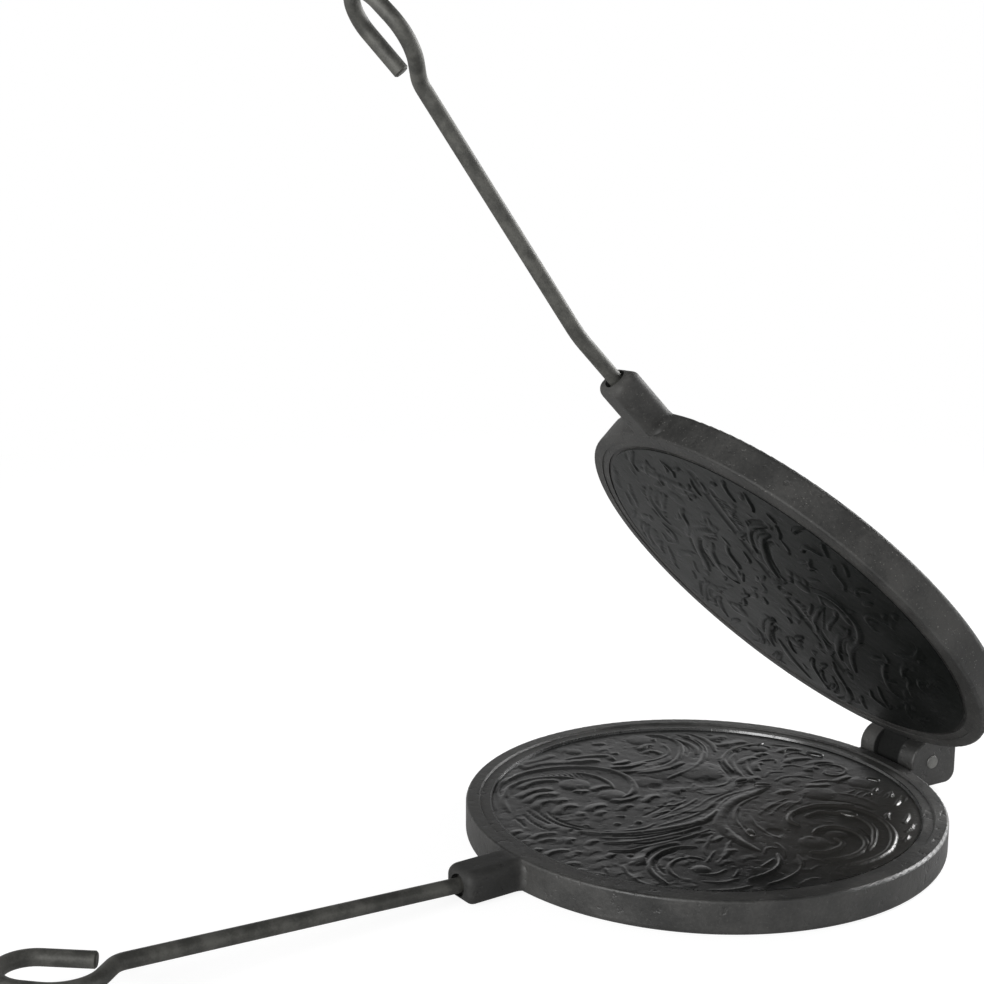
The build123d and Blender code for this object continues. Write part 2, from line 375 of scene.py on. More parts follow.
    def mesh(self, name, level, ground, up):
        """Closed mesh: the carved top, a short wall and a flat underside in the plate.

        It faces upwards where up is 1 and downwards where it is -1.
        """
        n = self.cells + 1
        top = np.stack([
            self.x, self.y, np.full(self.x.size, level) + up * (ground + self.high)
        ], 1)
        grid = np.arange(n * n).reshape(n, n)
        loop = np.concatenate([grid[0, :-1], grid[:-1, -1], grid[-1, :0:-1], grid[:0:-1, 0]])
        foot = top[loop]
        foot[:, 2] = level - up * RELIEF_SUNK
        centre = np.array([[0, 0, level - up * RELIEF_SUNK]])
        verts = np.vstack([top, foot, centre]) * MM
        faces = np.stack([grid[:-1, :-1], grid[:-1, 1:], grid[1:, 1:], grid[1:, :-1]], -1)
        faces = faces.reshape(-1, 4)
        below = n * n + np.arange(loop.size)
        after = np.roll(np.arange(loop.size), -1)
        wall = np.stack([loop, below, below[after], loop[after]], -1)
        floor = [(int(n * n + loop.size), int(below[j]), int(below[i]))
                 for i, j in enumerate(after)]
        quads = np.vstack([faces, wall])
        if up < 0:
            quads = quads[:, ::-1]
            floor = [face[::-1] for face in floor]
        return solid(name, verts.tolist(), quads.tolist() + floor)


# Drawings of both faces, millimetres, the upper one as it lies with the iron closed

# Each line: width, height | points of one rib; several ribs on a line share the first two.
LOWER_RIDGES = """
2.6 .62 | -58,44 -52,50 -45,53 -38,54.6 -30,54 -22,51.2 -15,46.6 -11,41 -9.6,35 -10.4,29 -13,23 -17,19 -22,17
2.2 .5 | -57,38 -53,44 -47,47.4 -40,48 -34,46.6 -29,43.6 -26.4,40
2.0 .5 | -24,46 -20.6,42 -18.6,37 -18.4,31 -20,26.4
2.4 .55 | -52,0 -46,-5.4 -38,-9.6 -30,-12 -22,-13 -13,-13.4 -6,-11.6 0,-8
1.8 .5 | -50,-12 -44,-15 -38,-16.6 -30,-17.6 -22,-17.8 -14,-17
1.7 .5 | -52,-18 -46,-21 -40,-21.6 -30,-22 -20,-21.6 -13,-20.6
1.3 .12 | -26,-9.4 -14,-8.6 -4,-6 4,-1.4 12,1 24,1.6 28,3 | -22,-5 -12,-4 -4,-2 4,1.6 12,3 20,5.6 25,8.6
1.3 .16 | -20,0 -12,-.6 -6,1 0,3.6 | -16,5 -10,3 -4,4.6
5 .44 | 28,0 20,-2.6 10,-4.6 2,-8.6 -4,-14 -8,-20 -10,-27 -10.6,-34 -10,-42
1.4 .2 | 10,-1 2,-6 -3,-11 -7,-17 -9.6,-23 -11.4,-30 -12,-38 | 20,-5 10,-8 4,-12.6 -.6,-18.6 -3,-25
.8 .18 | 10,-18 15,-15.6 20,-13.6 27,-12 | 12,-21 19,-17 26,-14.6
.8 .18 | 18,-21 25,-17.6 30,-16 | 28,-18 31,-15 35,-12
1.9 .85 | 15,-33 15,-28 19,-24 26,-22 33,-22.6 39,-27 42.4,-34 42.6,-42 40,-50 36,-56 30,-61
2.1 .9 | 41,-47 38,-53 33,-58.6 27,-63 20,-65.6 13,-66.4 7,-65.4
1.8 .75 | 22,-28 28,-27.4 33,-30 36.6,-35 37,-41 35,-47 31,-52 26,-56.6 21,-60
1.8 .75 | 15,-40 19,-38.4 24,-39.4 27,-44 27,-50 23.6,-56 17,-60 10,-60.6 4,-58.4
1.7 .7 | 18,-47 18,-51 14,-53.6 8,-54 4,-51.6
.9 .27 | 43.6,-43.6 46,-41.6 49,-40 | 42,-54.4 46,-53 50,-51 | 36,-59.6 38.6,-58.4 40.6,-57.6
1.3 .3 | 53,5.4 57,7.4 61.4,6.4 64,2.6 63.4,-1.4 60,-4 56,-3.6 54.4,-.4 56.6,2
1.2 .27 | 40,21 44,21.6 47.6,19.6 46,17 | 53,20 56,22 60,21 61,17
1.9 .5 | 27,18 28.6,23 31,28.6 36,33.4 42,36.2 48,36.6 52.6,34.6 54.6,31
2.2 .5 | 2,24 8,25.6 15,27.4 22,31 28,36.4 32.6,43 34.4,50 33,57
2.2 .6 | -12,39.6 -7,36.6 0,34.4 6,34.2 12,35.6 18,39 23,44 26.8,50 28,56 26,61.6 21.6,65
1.3 .27 | -4,42.4 3,42.4 10,42 16,43.6 20,48 21.4,53
3.2 .45 | -19,58.6 -12,57.6 -6,55.6 -1.6,52.6
1.8 .55 | -50.6,-48 -50.4,-42 -48.6,-36 -44.4,-31 -38,-27.6 -31,-27 -25.4,-30
1.5 .3 | -45,-46 -44.4,-41 -41.6,-37 -37,-34.8 -32,-35.4 -29.6,-38.6
1.3 .55 | -26.6,-58 -20,-57.6 -14,-56 -9,-52 -6,-47
1.1 .3 | -24,-64 -16,-63.4 -9,-61 -4,-56.6 -1,-51 | -17,-52.6 -13,-51.2 -9.6,-49.6
.8 .21 | -30,-41 -26,-38 -22,-35 | -27,-43 -20,-38.6 -15,-33.6 | -30,-54.6 -27,-52.6 -25,-50.6
.8 .21 | -6,-63 -3,-61.6 0,-61 | 2,-66 4,-65 6,-64.6 | 12,-71 14,-70.6 16,-70.4
2.4 .3 | -66,30 -63,38 -58,46 -52,53 -45,59 -37,63.4 | -63,26 -60,35 -55.6,42
2.4 .3 | 24.6,62 28.6,56 30.4,50 29.6,44 26,38.6 | 37.6,58 38.6,51 37.4,44 34,37.6
2.2 .3 | 27,12 29.4,20 33.6,27.4 39.4,32.4 | 31,12 33.6,19 38.6,25 | 57,33 60,30 62.6,26
1.6 .18 | 52,8 50,12 46,13 43.6,11 | 34,8 38,10.6 43,8.6 | 34,3 39,4.6 44,3 48,-1.4
1.6 .18 | 8,12 13,9.6 18,10 22,13 | -2,15 3,13 8,15.4 | 45,-4 50,-5.6 54,-9
1.6 .2 | -44,-4 -38,-7 -31,-8.4 -26,-7 | -48,-8.4 -41,-12.6 -33,-14.8 -25,-15.6
1.4 .18 | -14,-24 -18,-27 -24,-32 -27,-37 | -12,-31 -17,-35 -21,-40 | 6,-18 3,-24 2,-31 2.6,-38
1.4 .18 | 46,-17 49,-22 50.4,-28 49.6,-34 | 53,-15 56.4,-20 57.6,-26 | -1,-40 -2.6,-46 -6,-51
1.6 .7 | 44.4,-44 46.6,-41 49,-39.6 | 46.6,-49 50,-47 54,-43.6 | 42,-54.6 45.6,-53.4 49,-51
1.6 .7 | 36.6,-60 39,-58.6 41,-57.4 | 12,-72 14.6,-70.8 | 55,-36 58,-34.4 60,-32.4
1.6 .7 | 58.6,-29.4 61,-27.6 63,-25.6 | 54,-24.4 56,-22.8 | 58,-22.4 61,-20.4
1.3 .18 | -55,-30 -57,-37 -56.6,-44 -53,-50 | -60,-26 -62,-33
1.3 .24 | -40,-52 -35,-55.6 -29,-56 | -42,-58 -36,-61.4 -29,-62.4 | -38,-47 -33,-49.6 -28,-48.6
1.2 .18 | -16,-69 -10,-67.6 -5,-69 | 0,-54 2,-58 6,-62.6 | -10,-45 -6,-42 -3,-44
"""

# Middle, radius and height of each boss.
LOWER_BALLS = """
-24 21 5 .5
-30 36 5.6 .5
1 32 8 .34
17 24 9 .4
-6 26 6 .3
-47 3 1.2 .5
-37 -1 1.2 .5
-30 -3.5 1.2 .5
40 -14 6 .4
60 -14 5.5 .4
10 -46 5 .35
21 -45 3.5 .4
50 32 3.6 .4
17 62 5.4 .45
-12 64 3 .4
-35 -44.5 3 .45
"""

# Middle, half length, half width, lean in degrees and height of each steep boss.
LOWER_BOSSES = """
24 9.4 3.2 1.8 15 .8
27.8 2.4 3 1.6 -35 .8
-3 -29.4 2.8 1.5 70 .75
36 -33.4 3.6 1.7 -62 .85
40.8 -28 3.2 1.4 -55 .85
64.6 17 3.8 1.9 -72 .85
65.4 -13.4 2.8 1.5 -65 .8
53 35 2 1.1 10 .7
"""

# Height, fade | points of each leaf edge.
LOWER_STEPS = """
.5 3.5 | -48,41 -44,43.5 -40,44 -36,43 -33,41 | -53,34.5 -49,36.5 -45,37.5 -42,36.5 -39.5,35
.5 3.5 | -53,29 -49,32 -46,33 -43,32 -41.5,30 | -53,23 -50,26 -47,27 -45,26.5 | -45,24 -42,25 -40,24.5
.5 3.5 | -49,15 -47,17.5 -44,19.5 -42,19 -40.5,18 | -43,10 -42,11.5 -41,12 | -38,12 -36,14 -34,14.5 -31,13.5
.5 3 | -38,7 -36,9 -34,9.5 | -28,7 -26,9 -25,9.5 -23,9 | -17,9 -14,11.5 -12,12 -10.5,11 | -32,2.5 -31,3.5
.5 3 | -27,27 -25,28 -22,28 -20,27 | -34,31 -32,28.5 -29,28 | -28,17 -25,14.5 -20,14 -16,15.5
.3 4 | -38,60 -34,61.6 -28,62 -20,63.6 | -38,57.4 -31,58.4 -26,57.2 -20,54.6 -15,52.4 -10,50.6
.5 3 | -10,43 -6,41 -2,40 5,40.4 | -7,45.4 -3,44.4 1,45 | 10,52.6 13,53.4 15,54.4 18.4,54.6
.5 2.5 | 11,48 12.4,49.4 13.8,48.4 13.8,45.4 | 21,57.6 22,59.4 23,60.4 | 34.6,54.4 36,56.4
.45 3 | -3.4,49 -2.6,51.6 -1.4,53.4 | .6,53 2,55.4 | -2,67 0,65.6 3,64.6 | 40,47 43,47.4 45.4,46.4
.45 3 | 41,44.6 43,45 | 40.6,40 45,40.4 | 43,51.6 45,52.4 | 35,21.6 38,24 41,24.6 43.4,24
.5 3 | 45,24.6 47,26 49.6,25.4 | 36,13.6 38,17 40,19 41.4,18.4 | 55,23.6 58,25.6 60.4,24.4 62,21.8
.5 3 | 50,14 53,15.6 57,14.6 60.4,13.2 | 55,7.8 58,9.2 61,8.2 64,5.8 | 28,-8.4 30,-7.4 33.4,-8.4
.5 3 | 40,-7 45,-9.4 48.6,-10 | 52,-9.6 56,-8.6 60.6,-8 | 27,5.6 29,8 31.4,7
.45 2.5 | -72,8 -70,9.5 -68,9 | -68,2 -65,3.5 -62,3 -59,2 | -67,-2 -65,-1 -62,-2.5 | -72,-7 -70,-6
.45 2.5 | -59,-7 -58,-5 -56,-5 | -72,-12 -69,-10.5 -66,-10.5 -63,-12 | -54,-11.5 -53,-10 -50,-10
.45 2.5 | -62,-15 -60,-14.5 | -70,-22 -68,-21 -66,-22.5 | -55,-23 -53,-22 -51,-21 | -49,-24 -47,-25
.3 2.5 | -20,-24 -17,-23.4 -13.6,-24 | -24,-26.6 -22,-27.4 -19.6,-28 | -19.4,-29.4 -16,-29 -12.6,-27.6
.3 2.5 | -23,-41.4 -20.4,-40 -18,-38.4 -15.6,-39
.55 4 | -19.4,55.4 -16,53 -12.6,52.2 -9,50.4 | -5,33.4 0,31.4 6,31 12,32 17.4,33.6
.2 5 | 0,37.6 6,37 12,38 17,40.4 | -17,65 -14.6,66 -12,65.6 | -4,58.6 -2,59.4 0,58.4
.45 4 | 38,41 44,40.4 50.6,39.4 | 41,47.5 44,48.4 47,47 | 41,33 44,34.6 46.4,33
.15 4 | 4,5.6 8,3.6 13,3.6 18,5.6 22,6 | -14,-3 -8,-6 -2,-5.4 4,-2.6 | 10,-5 16,-3 22,-.4 27,.6
.32 4 | -45,-7.4 -38,-12 -30,-14.4 -20,-15.4 -12,-15 -6,-13.4 | -46,-14.6 -40,-18.4 -32,-20 -24,-20
.5 4 | -48,-33 -44,-27.4 -38,-24.6 -32,-24.2 -29,-26 | -3,10 -1,12 1,11.2 | 52,3 54,5.2 56.4,4.4
.16 4 | -62,-24 -59,-22.6 -56,-23 | 42,1 45,2.4 48,1.4 | 36,-2 39,-.6 42,-2 | 60,-12.6 63,-11 66,-12
.16 4 | 2,9 5,10.4 8,9.6 | -9,8 -7,10 -4.6,9.6 | -23,4 -21,5.6 -18.6,5 | -13,4.6 -10,6.4 -7,5.6
.16 4 | -41,3 -39,4.6 -37,4 | -46,7 -44,8.6 -42,8 | -56,1 -53,2.6 -50,2 | -54,-3 -51,-1.6 -48,-2.4
.16 4 | -71,3.6 -69,5 -67,4.4 | -73,-2 -71,-.6 -69,-1.4 | -63,-5.6 -61,-4.4 -59,-5 | -61,5 -58,6.6 -55,6
.16 4 | -47,-10.4 -45,-9 -43,-9.6 | -60,-18 -57,-16.6 -54,-17.4 | -66,-17 -64,-15.6 -62,-16.6
.14 4 | -64,-29 -61,-27.6 -58,-28.6 | -68,-28 -66,-26.6 | -62,-36 -59,-34.4 -57,-35 | -65,-33 -63,-31.6
.14 3 | -58,-41 -56,-39.6 -54,-40.4 | -60,-46.4 -58,-45 | -54,-47.4 -52,-46 | -44,-20.6 -42,-19.4 -39.6,-20
.2 3 | 14,-17 18,-15 22,-14.4 | 22,-18.6 25,-17 28,-16.8 | 33,-13 36,-12 39,-13 | 43,-18 46,-16.6
.16 3 | -6,-58 -3,-56 0,-57 | -8,-63 -5,-61.6 | 3,-69 6,-68 9,-69 | -20,-47 -17,-45.6 -14,-47
.16 3 | -28,-46 -25,-44.6 -22,-45.4 | -44,-50 -42,-48.6 | -38,-40 -35,-38.6 -32,-39.6 | -40,-34 -37,-32.6
.16 3 | -34,-67 -30,-66 -27,-67.4 | -22,-71 -18,-70 | -46,-54.6 -43,-53.4
"""

# Width, depth | points of each groove.
LOWER_GROOVES = """
1.1 .4 | -57,24 -57.6,18 -56.6,10 | -54,24 -55,16 -54,8 -50,0 | -60,22 -61,14 -60,6
1.1 .4 | -64,20 -65,12 | -51.6,20 -52.6,14 -51,6 -46,-1 | -58,40 -55,46 -50,51 -44,54.6
1.1 .4 | 32,60 34.4,53 33.4,45 29.6,38 | 27.6,59 28.8,52 27,45 22,39.4 | 23,14 25.4,22 29,29
1.4 .18 | -6,12 -11,6 -18,2.4 -26,0 | -3,7 -9,2 -16,-1 -24,-3 | 6,-12 1,-18 -2,-25 -3,-32
1.1 .35 | 36,-19 41,-23 44.6,-29 45.6,-36 | 31,-45 29,-52 24,-58 | -47,-42 -45,-35 -40,-30 -33,-29
"""

# Middle, radius and depth of each hollow.
LOWER_HOLLOWS = """
0 19 4 .2
12 14 5 .25
24 16 3 .25
-46 -24 4 .3
4 -33 3.4 .35
32 -30 3 .35
-6 20 3 .3
"""

# Count, width, height | ends of the first guide | ends of the second.
LOWER_RIBS = """
9 .8 .24 | -35,49.6 -20,44.6 | -33,45.6 -22,40.6
5 .8 .24 | 10,57 15,57.6 | 12,53.4 17,54
6 .8 .21 | 55,-24 60,-35 | 61,-21 64,-32
5 .8 .21 | 49,-19 53,-30 | 53,-18 56,-27
"""

# The upper face, in the same forms as the lower
UPPER_RIDGES = """
6 .34 | -47,28 -42,35 -35,38.4 | -28,12 -24,20 -19,26 | -64,21 -60,27 -54,3 | -56,48 -49,54 -41,58
6 .34 | -17,58 -11,64 -4,67 | 12,46 17,53 24,59 | 28,22 34,29 41,34 | 58,42 61,48 60,54 | 56,8 63,13 68,19
6 .34 | -43,-24 -38,-16 -31,-12 | -8,-32 -2,-34 4,-33 | 14,-28 20,-21 28,-15 | -20,48 -14,47 | 34,44 42,47
3.4 .89 | -30,11 -29,17 -27,22 -24,26.5 -20,30 -16,33 -12,35 -8,36.4 -4,38 1,40.6
3.2 .81 | -22,19 -19,22 -16,25 -12,27 -8,28.4 -3,29 1,27.6 2.6,24.6
2.4 .68 | -24,9 -21,11.5 -18,13 -14,13.5 -10,14 -7.6,17.4
2.4 .41 | -48,32 -44,37 -40,40 -35,42 -29,42.4 -25,41
2.4 .68 | -46,25 -44,27.6 -42,30 -39.6,32.4 -36.4,35 -34.6,37.6 | -40,20 -38,23 -35,25 -31,26 -28,27.8
2 .61 | -66,18 -63,21.5 -60,24 -56.6,25.8 | -70,22 -66,27 -62,30 -57,31.4 | -59,17 -56,19.6 -52.6,20.6
1.8 .54 | -57,12 -55,15 -52,18 | -52,3 -50,7.4 | -58,1 -55.6,4.6 | -57,7 -55.6,9.4 | -68,7 -64,5.4 -60,7.6
1.8 .54 | -67,-1 -65,4 | -23,1 -19,1.6 -17,3 -15,6.4 | -10,0 -7,4 -4,7.6 | -6,15 -3,18 0,20
2 .32 | -52,49 -50,52 -46,55 | -46,47 -42,50 -38,52.6 -34,54 -30.6,56.6 | -39,56 -35,58 -30,60.6
1.8 .54 | -62,-3 -58,-1 -53,-1
1.8 .32 | -27,61 -24,65 -20.6,69.4 | -2,47.4 2,50 6,51.4
2.6 .44 | -19.4,59.6 -17,63 -14,66 -10,68.2 -6,69.8 -3.6,72 | -9.4,60.6 -7,64 -4,66.2 0,67.4
2.6 .41 | -7,58.6 -3,61 1,63.2 5,66 9,66.4 | -24.4,46.6 -20,45 -17,46 -14,48 -12,51 -11,55.4
4 .54 | 38,30 43,31 50,32.4 56,32 63,30.6
4 .32 | -9,41 -7.4,46 -6,51 -3,55.6
2.6 .44 | 10.6,48.6 13,53 16,56 19.4,59.2 23,62 27,65 28.8,68 | 20,49.6 22.4,53 26,55.4 30,57.2 35.6,58.4
2.2 .41 | 34,50 36,54 38,57.4 | 36,40.6 41,42.4 45,45 47.4,48.4 48,52.4 | 50,39.6 54,43.6 57,47.6 59.6,52
3 .84 | 22.4,20 25,24.6 29,28.6 33,32 37.4,35.6 41,37.4 45.6,38.6
2 .68 | 33,20.5 37,23.5 41,25 44.6,25.2 | 43,14 46,17 50,19.6 56,21.2 61,22 66,22 | 51,15 54.4,18 60,20
3 .81 | 57,6.6 62,8.5 66,11.5 69,15 71,19.6 72,24
2.4 .61 | 40,1 46,4.4 52,5.6 58,7 | 60,0 64,3 70,5
2.2 .61 | 28,8.6 30,12.6 33,16 | 44,7.6 46,11 49.4,14.4 | 14,30.6 17,33 20,36 | 9,24 11,28 13,31
3 .84 | -41,-27 -38,-21 -33.4,-17 -28,-14 -23,-11.4 -18,-10 -13,-9.6
2.4 .74 | -46,-30 -45,-25 -43,-20 -40,-16.5 -36,-13 -31,-10 -26,-8.6
2 .61 | -67,-25 -65,-23 -61,-21.5 -56,-21.5 | -63,-32 -60,-31 -56,-30 -53,-28 | -64,-18 -62.6,-14.6
2 .54 | -48,-36 -44,-34 -40,-31 | -54,-36 -50,-37 | -52,-52 -50,-47 -47,-43 | -33,-41 -30,-38 -26,-37
1.8 .47 | -48,-58 -44,-55 -38,-53 | -34,-53 -30,-50 -24,-50 -19,-47 | -24,-62 -23,-57 -21,-53
2.6 .81 | -11,-25 -11.4,-31 -9,-35 -4,-37.4 2,-37.4 8,-35 13,-31.4 17,-27
2.4 .81 | 8,-30 12,-26 15,-21 19,-17 24,-13 29,-9.4 36,-6.4 | 15,-31 19,-25 23,-21 28,-17 34,-13.4 41,-10
1.8 .54 | -2,-25 1,-20 5,-16 10,-11 14,-8 | -1,-18 3,-14 8,-9.4 | 2,-28 6,-23 10,-18.6 15,-14.6
2.2 .68 | 3,-66 7,-63 11,-59 13,-54 14,-48 | 22,-62 26,-57 30,-53 | 24,-37 30,-32 37,-28 45,-25
2 .54 | 30,-45 36,-40 43,-37 | 46,-18 53,-15 60,-13.6 | 50,-30 56,-26 62,-24 | 20,-50 24,-45 30,-41
2.2 .6 | 36,-34 38,-28 44,-26 48,-30 46,-35 | 52,-10 57,-8 61,-12 58,-17 | 28,-58 27,-52 32,-48 38,-50
2.2 .6 | -6,-58 -8,-52 -4,-47 2,-47 | -38,-50 -40,-44 -36,-39 | 56,-36 60,-30 65,-28
"""

UPPER_STEPS = """
.4 4 | -31,13 -30,19 -27.6,24 -24,28.6 -19,32.6 | -23.4,19 -20,23.4 -16,26.8 -11,29
.4 4 | 23,21.6 27,27 33,32.8 39,37
.35 4 | -42,-26 -39,-20 -34,-15.6 -28,-12.4 | 9,-29 13,-24.6 16,-20 20,-16 25,-12
.35 4 | -19,60.6 -16,64.6 -11,68.6
.25 3 | 12,4 15,8 | 15,0 19,5 | 12,-3 15,0.4 | -50,-17 -47,-13 -44,-10 | -53,-20 -51,-16 | -47,-33 -44,-30
.25 3 | -18,-25 -14.4,-21.4 | -17,-27.6 -13,-24 | -20,-22 -16,-19 | -8,42.6 -5,46 | 3,42 6,46 | -34,6 -31,9
"""

UPPER_GROOVES = """
4.6 .3 | -68,-7.6 -50,-6 -40,-5.6 -30,-5.4 -10,-4.8 10,-4.6 30,-3.8 48,-2
3 .2 | -60,-11.6 -44,-10 -30,-9.4 | 14,-9 30,-7 44,-5.4
1.4 .64 | -26,13 -25.4,19 -23,24 -19,28 -14,31 -8,32.6 -1,34 | 27,22 31,27 36,31 42,34.6
1.4 .64 | 52,10 58,12 63,15 67,20
1.4 .32 | -32.4,11 -31,18 -28.6,24 -25,29 -20.6,33 -16,35.8 -10,38.4
1.4 .32 | -50,32 -46,38 -41,42 -35,44.4 -28,44.8 | -48,24 -46,29 -42,33.4 -38,37 | -72,21 -68,28 -63,32.4
1.4 .32 | -44,-28 -42,-21 -37,-15.4 -30,-11.6 | -48.4,-30 -47,-24 -44,-18 | -13.4,-26 -13,-33 -9,-37.6
1.4 .32 | -22,59 -19,63.6 -15,67.6 -9,70.8 | 8.6,48 11,53 15,57.6 20,61.4 25,65.4 | 19,36 20,41 22.6,46
1.4 .32 | 21,19 24,25 28,30 33,34 39,37.8 | 56,4.6 62,6.4 67,9.6 71,14 73,19 | 48,36 54,40.6 59,46
1.4 .32 | -37,-26 -34,-21 -29,-17.6 -23,-14.6 -16,-13 | 12,-31 16,-26 19,-21 24,-17 30,-13.6
1.4 .32 | 15,50 18,54 23,58
"""

UPPER_BALLS = """
-3 26.6 5 .5
25 43.6 4.6 .5
35 18 3.4 .45
-12 -21 3.4 .4
-6 -30 3 .4
-46 19 4 .25
"""

UPPER_HOLLOWS = """
25 44.6 2.4 .35
-22 40 3 .15
"""

UPPER_RIBS = """
8 .9 .22 | -55,-9 -42,-9 | -53,-15 -41,-14
5 .9 .2 | 2,-12 12,-7 | 5,-7 14,-3
6 .9 .22 | 0,-23 12,-14 | 4,-20 16,-11
"""


def stroke_lines(text):
    for row in text.strip().splitlines():
        head, *lines = row.split("|")
        yield numbers(head), [points(line) for line in lines]


def carve(carving, ridges, balls, ribs, steps, grooves, hollows):
    """All strokes of one face: what stands up first, then what is cut into it."""
    for (width, height), lines in stroke_lines(ridges):
        for line in lines:
            carving.ridge(line, width, height)
    for (count, width, height), (first, last) in stroke_lines(ribs):
        carving.ribs(int(count), width, height, first, last)
    for row in balls.strip().splitlines():
        carving.ball(*numbers(row))
    for (height, fade), lines in stroke_lines(steps):
        for line in lines:
            carving.step(line, height, fade)
    for (width, depth), lines in stroke_lines(grooves):
        for line in lines:
            carving.groove(line, width, depth)
    for row in hollows.strip().splitlines():
        carving.hollow(*numbers(row))


lower_carving = Carving(LOWER_RELIEF_RADIUS, RELIEF_CELLS, blunt=0.35)
carve(
    lower_carving, LOWER_RIDGES, LOWER_BALLS, LOWER_RIBS, LOWER_STEPS, LOWER_GROOVES,
    LOWER_HOLLOWS,
)
lower_carving.grain(count=700, seed=31)
lower_carving.finish(LOWER_CAP, LOWER_GROUND, LOWER_UNEVEN, seed=11)
lower_relief = lower_carving.mesh("lower_relief", LOWER_FACE_Z, LOWER_GROUND, up=1)
lower_bosses = bosses("lower_bosses", LOWER_BOSSES, LOWER_FACE_Z + LOWER_GROUND)

# The recess in the lower plate has a drafted wall, as a pattern needs to leave the sand.
recess_wall = turned("recess_wall", [
    (73.2, WALL_FOOT_Z), (74.2, WALL_FOOT_Z), (74.2, WALL_TOP_Z), (73.62, WALL_TOP_Z),
    (73.4, WALL_BEND_Z),
])

upper_carving = Carving(UPPER_RELIEF_RADIUS, RELIEF_CELLS, blunt=0.3)
carve(
    upper_carving, UPPER_RIDGES, UPPER_BALLS, UPPER_RIBS, UPPER_STEPS, UPPER_GROOVES,
    UPPER_HOLLOWS,
)
upper_carving.leaves(count=120, seed=33)
upper_carving.grain(count=90, seed=32)
upper_carving.finish(UPPER_CAP, UPPER_GROUND, UPPER_UNEVEN, seed=12)
upper_relief = upper_carving.mesh("upper_relief", UPPER_FACE_Z, UPPER_GROUND, up=-1)
upper_relief.data.transform(to_open)


# Materials

class Nodes:
    """Short names for building the node tree of a material or of the world."""

    def __init__(self, owner, output="ShaderNodeOutputMaterial"):
        owner.use_nodes = True
        self.owner, self.tree = owner, owner.node_tree
        self.tree.nodes.clear()
        self.output = self.add(output)

    def add(self, kind, **settings):
        node = self.tree.nodes.new(kind)
        for key, value in settings.items():
            setattr(node, key, value)
        return node

    def set(self, socket, value):
        if isinstance(value, bpy.types.NodeSocket):
            self.tree.links.new(value, socket)
        else:
            socket.default_value = value

    def math(self, operation, a, b=0.0, clamp=False):
        node = self.add("ShaderNodeMath", operation=operation, use_clamp=clamp)
        self.set(node.inputs[0], a)
        self.set(node.inputs[1], b)
        return node.outputs[0]

    def share(self, first, second, part):
        """Sum of two values, with the part of the first given as a fraction."""
        first = self.math("MULTIPLY", first, part)
        return self.math("ADD", first, self.math("MULTIPLY", second, 1 - part))

    def ramp(self, value, low, high, out_low=0.0, out_high=1.0):
        """Smooth change between two outputs as the value goes from low to high."""
        node = self.add("ShaderNodeMapRange", interpolation_type="SMOOTHSTEP")
        for socket, v in zip(node.inputs, (value, low, high, out_low, out_high)):
            self.set(socket, v)
        return node.outputs[0]

    def noise(self, vector, scale, detail=3.0, roughness=0.55):
        node = self.add("ShaderNodeTexNoise")
        self.set(node.inputs["Vector"], vector)
        self.set(node.inputs["Scale"], scale)
        self.set(node.inputs["Detail"], detail)
        self.set(node.inputs["Roughness"], roughness)
        return node.outputs["Fac"]

    def mix(self, factor, a, b):
        node = self.add("ShaderNodeMix", data_type="RGBA")
        self.set(node.inputs["Factor"], factor)
        for name, value in (("A", a), ("B", b)):
            socket = next(s for s in node.inputs if s.name == name and s.type == "RGBA")
            self.set(socket, value if not isinstance(value, tuple) else (*value, 1))
        return next(s for s in node.outputs if s.type == "RGBA")

    def join(self, kind, first, second, factor=None):
        """Two shaders added, or mixed by a factor."""
        node = self.add(kind)
        shaders = [socket for socket in node.inputs if socket.type == "SHADER"]
        for socket, shader in zip(shaders, (first, second)):
            self.tree.links.new(shader.outputs[0], socket)
        if factor is not None:
            self.set(node.inputs[0], factor)
        return node

    def axes(self, vector):
        node = self.add("ShaderNodeSeparateXYZ")
        self.set(node.inputs[0], vector)
        return node.outputs

    def grey(self, value):
        node = self.add("ShaderNodeBsdfDiffuse")
        self.set(node.inputs["Color"], (value, value, value, 1))
        return node

    def glow(self, strength):
        node = self.add("ShaderNodeEmission")
        self.set(node.inputs["Strength"], strength)
        return node

    def seen(self, path):
        """1 on a ray from the camera, also through glass, and 0 on others."""
        return self.math(
            "MAXIMUM", path.outputs["Is Camera Ray"], path.outputs["Is Transmission Ray"]
        )

    def surface(self, shader):
        self.tree.links.new(shader.outputs[0], self.output.inputs["Surface"])

    def principled(self, values):
        """Surface from the named sockets of the principled shader."""
        shader = self.add("ShaderNodeBsdfPrincipled")
        for name, value in values.items():
            self.set(shader.inputs[name], value)
        self.surface(shader)
        return self.owner

    def bump(self, height, strength, distance, normal=None):
        node = self.add("ShaderNodeBump")
        self.set(node.inputs["Height"], height)
        self.set(node.inputs["Strength"], strength)
        self.set(node.inputs["Distance"], distance)
        if normal is not None:
            self.set(node.inputs["Normal"], normal)
        return node.outputs["Normal"]


# Spans of the noise over which colour, sheen, painted glint specks and pits go from none to full
IRON_TONE_SPAN, STEEL_TONE_SPAN = (0.35, 0.68), (0.36, 0.64)
SHEEN_SPAN, GLINT_SPECK_SPAN, PIT_SPAN = (0.3, 0.7), (0.64, 0.74), (0.28, 0.4)


def socket_painted_shade(n, place):
    """Painted shade on the lower socket, from the distance out from the plate, and in the hinge."""
    start, end = SOCKET_START - SOCKET_SHADE_REACH, SOCKET_START + SOCKET_SHADE_REACH
    out = n.ramp(n.axes(place)["X"], start, end, SOCKET_SHADE, 0)
    return n.math("MAXIMUM", out, hinge_painted_shade(n, place, EAR_SHADE_SIDES))


